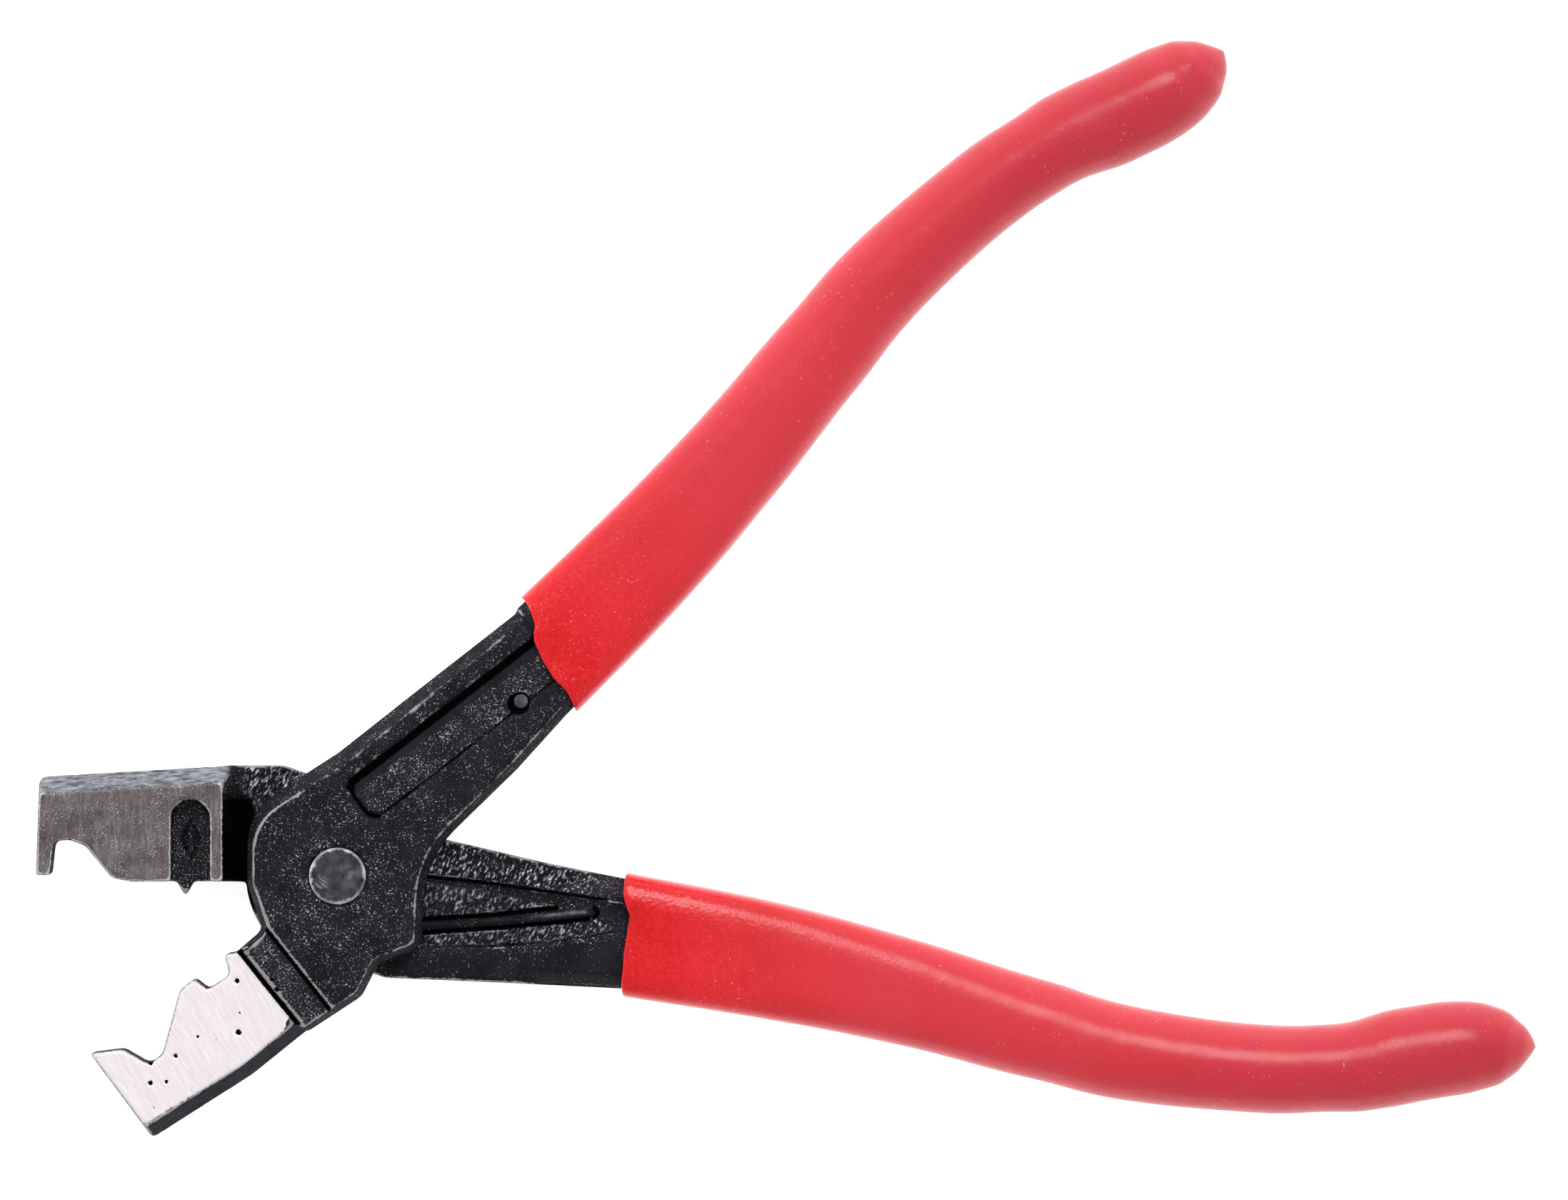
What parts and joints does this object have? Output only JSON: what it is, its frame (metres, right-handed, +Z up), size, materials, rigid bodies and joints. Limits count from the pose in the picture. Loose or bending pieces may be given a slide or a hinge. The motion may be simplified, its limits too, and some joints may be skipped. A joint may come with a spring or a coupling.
{
  "type": "hose clamp pliers",
  "caption": "Hose clamp pliers: crossed forged steel levers on a solid rivet, with a hooked and slotted upper jaw, a stepped lower jaw and dipped vinyl grips.",
  "frame": {"origin": "on the rivet's axis, in the plane that the pliers lie on, at the rivet's rear face", "axes": "+X towards the handles, +Y across them from the rear lever's handle to the front lever's, +Z up along the rivet's axis, from the rear lever to the front one"},
  "size_m": [0.2101, 0.1534, 0.013],
  "materials": {
    "forged_steel": "black oxide on drop forged steel, fine granular skin, bare worn edges, jaw faces ground bright",
    "rivet_steel": "dark worn steel with a bright rubbed rim",
    "pin_steel": "dark satin steel",
    "grip_vinyl": "smooth red dipped vinyl, soft gloss"
  },
  "bodies": {
    "rear_side": {"rear_lever": "forged_steel", "pivot_rivet": "rivet_steel", "rear_grip": "grip_vinyl"},
    "front_side": {"front_lever": "forged_steel", "shank_pin": "pin_steel", "front_grip": "grip_vinyl"}
  },
  "joints": [
    {"name": "pivot", "type": "hinge", "parent": "rear_side", "child": "front_side", "pos_m": [0, 0, 0.0065], "axis": [0, 0, 1], "range_deg": [-32, 30]}
  ]
}
